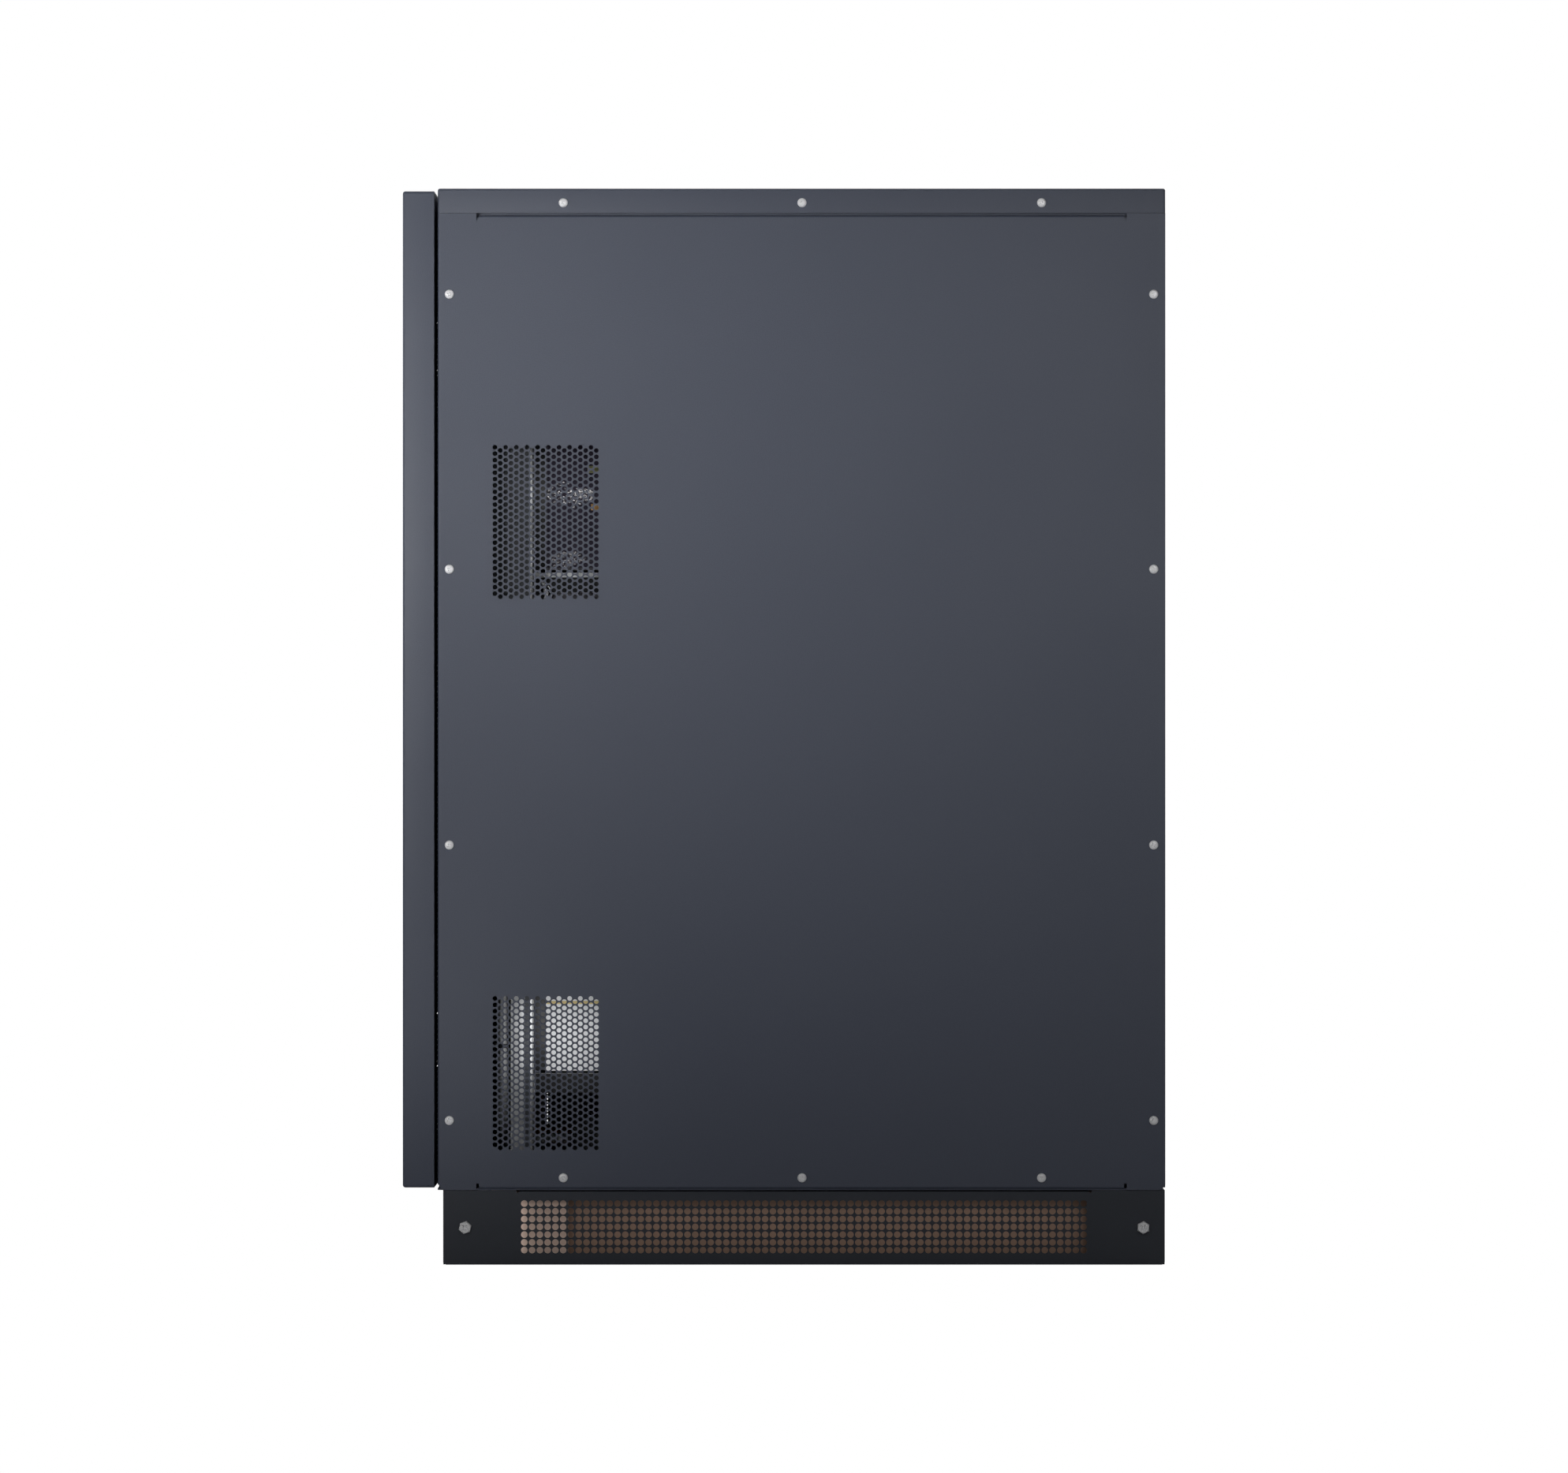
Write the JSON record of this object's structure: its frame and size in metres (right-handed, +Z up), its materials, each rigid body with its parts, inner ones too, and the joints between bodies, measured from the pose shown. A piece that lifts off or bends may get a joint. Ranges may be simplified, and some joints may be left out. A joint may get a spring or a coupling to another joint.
{
  "type": "rack battery cabinet",
  "caption": "Floor-standing steel cabinet on a plinth, with a full-height door, side vents and a rack of battery modules under a control unit.",
  "frame": {"origin": "on the floor under the middle of the cabinet", "axes": "+Z up; the door faces -Y; +X is the right-hand side seen from the front"},
  "size_m": [0.6058, 0.85, 1.2],
  "materials": {
    "slate_paint": "fine-textured satin powder coat, dark slate grey",
    "plinth_paint": "fine-textured satin powder coat, darker slate grey",
    "zinc": "zinc-plated sheet steel",
    "steel": "bright steel, plain finish",
    "module_case": "satin white powder coat",
    "dark_case": "dark purple-grey paint under a clear protective film",
    "front_panel": "fine-textured black powder coat",
    "cell_block": "blue film round the cells",
    "black_plastic": "moulded black plastic",
    "seal_rubber": "black foam rubber",
    "copper": "tinned and bare copper",
    "orange_sheath": "orange high-voltage cable sheath",
    "grey_sheath": "light grey cable sheath",
    "black_sheath": "black cable sheath",
    "green_cap": "translucent green button cap"
  },
  "bodies": {
    "cabinet": {"base_frame": "slate_paint", "battery_module_1_case": "module_case", "battery_module_1_cells": "cell_block", "battery_module_1_front": "front_panel", "battery_module_2_case": "dark_case", "battery_module_2_cells": "cell_block", "battery_module_2_front": "front_panel", "battery_module_3_case": "dark_case", "battery_module_3_cells": "cell_block", "battery_module_3_front": "front_panel", "battery_module_4_case": "dark_case", "battery_module_4_cells": "cell_block", "battery_module_4_front": "front_panel", "control_unit_case": "module_case", "control_unit_front": "front_panel", "corner_post_front_left": "slate_paint", "corner_post_front_right": "slate_paint", "corner_post_rear_left": "slate_paint", "corner_post_rear_right": "slate_paint", "earth_bar": "copper", "fan_frame": "black_plastic", "gland_plate": "zinc", "hinge_lower": "zinc", "hinge_upper": "zinc", "link_cable_1": "orange_sheath", "link_cable_2": "orange_sheath", "link_cable_3": "orange_sheath", "main_breaker": "black_plastic", "output_cable_negative": "grey_sheath", "output_cable_positive": "orange_sheath", "plinth_front": "plinth_paint", "plinth_rear": "plinth_paint", "plinth_side_left": "plinth_paint", "plinth_side_right": "plinth_paint", "rack_rail_front_left": "zinc", "rack_rail_front_right": "zinc", "rack_rail_rear_left": "zinc", "rack_rail_rear_right": "zinc", "rear_panel": "slate_paint", "shelf_1": "zinc", "shelf_2": "zinc", "shelf_3": "zinc", "shelf_4": "zinc", "side_panel_left": "slate_paint", "side_panel_right": "slate_paint", "string_cable_negative": "black_sheath", "string_cable_positive": "orange_sheath", "terminal_block": "black_plastic", "top_cover": "slate_paint", "top_frame": "slate_paint"},
    "door": {"front_door": "slate_paint", "door_gasket": "seal_rubber", "latch_housing": "black_plastic"},
    "latch": {"latch_spindle": "zinc"},
    "latch_bow": {"latch_handle": "steel"},
    "upper_rod": {"lock_rod_upper": "steel"},
    "lower_rod": {"lock_rod_lower": "steel"},
    "toggle": {"breaker_toggle": "black_plastic"},
    "button": {"start_button": "green_cap"},
    "rotor": {"fan_rotor": "black_plastic"}
  },
  "joints": [
    {"name": "door_hinge", "type": "hinge", "parent": "cabinet", "child": "door", "pos_m": [-0.288, -0.412, 0.64], "axis": [0, 0, -1], "range_deg": [0, 120]},
    {"name": "latch_turn", "type": "hinge", "parent": "door", "child": "latch", "pos_m": [0.225, -0.413, 0.64], "axis": [0, -1, 0], "range_deg": [0, 90]},
    {"name": "latch_bow_fold", "type": "hinge", "parent": "latch", "child": "latch_bow", "pos_m": [0.225, -0.4202, 0.662], "axis": [-1, 0, 0], "range_deg": [0, 90]},
    {"name": "upper_rod_slide", "type": "slide", "parent": "door", "child": "upper_rod", "axis": [0, 0, 1], "range_m": [0, 0.01885]},
    {"name": "lower_rod_slide", "type": "slide", "parent": "door", "child": "lower_rod", "axis": [0, 0, -1], "range_m": [0, 0.01885]},
    {"name": "breaker_tip", "type": "hinge", "parent": "cabinet", "child": "toggle", "pos_m": [-0.02, -0.2843, 1.0328], "axis": [-1, 0, 0], "range_deg": [0, 50]},
    {"name": "button_press", "type": "slide", "parent": "cabinet", "child": "button", "axis": [0, 1, 0], "range_m": [0, 0.003], "stiffness_N_per_m": 400, "springref_m": -0.001},
    {"name": "rotor_spin", "type": "hinge", "parent": "cabinet", "child": "rotor", "pos_m": [0, 0.4, 1.06], "axis": [0, 1, 0], "continuous": true}
  ],
  "couplings": [
    {"joint": "upper_rod_slide", "follows": "latch_turn", "m_per_rad": 0.012},
    {"joint": "lower_rod_slide", "follows": "latch_turn", "m_per_rad": 0.012}
  ]
}
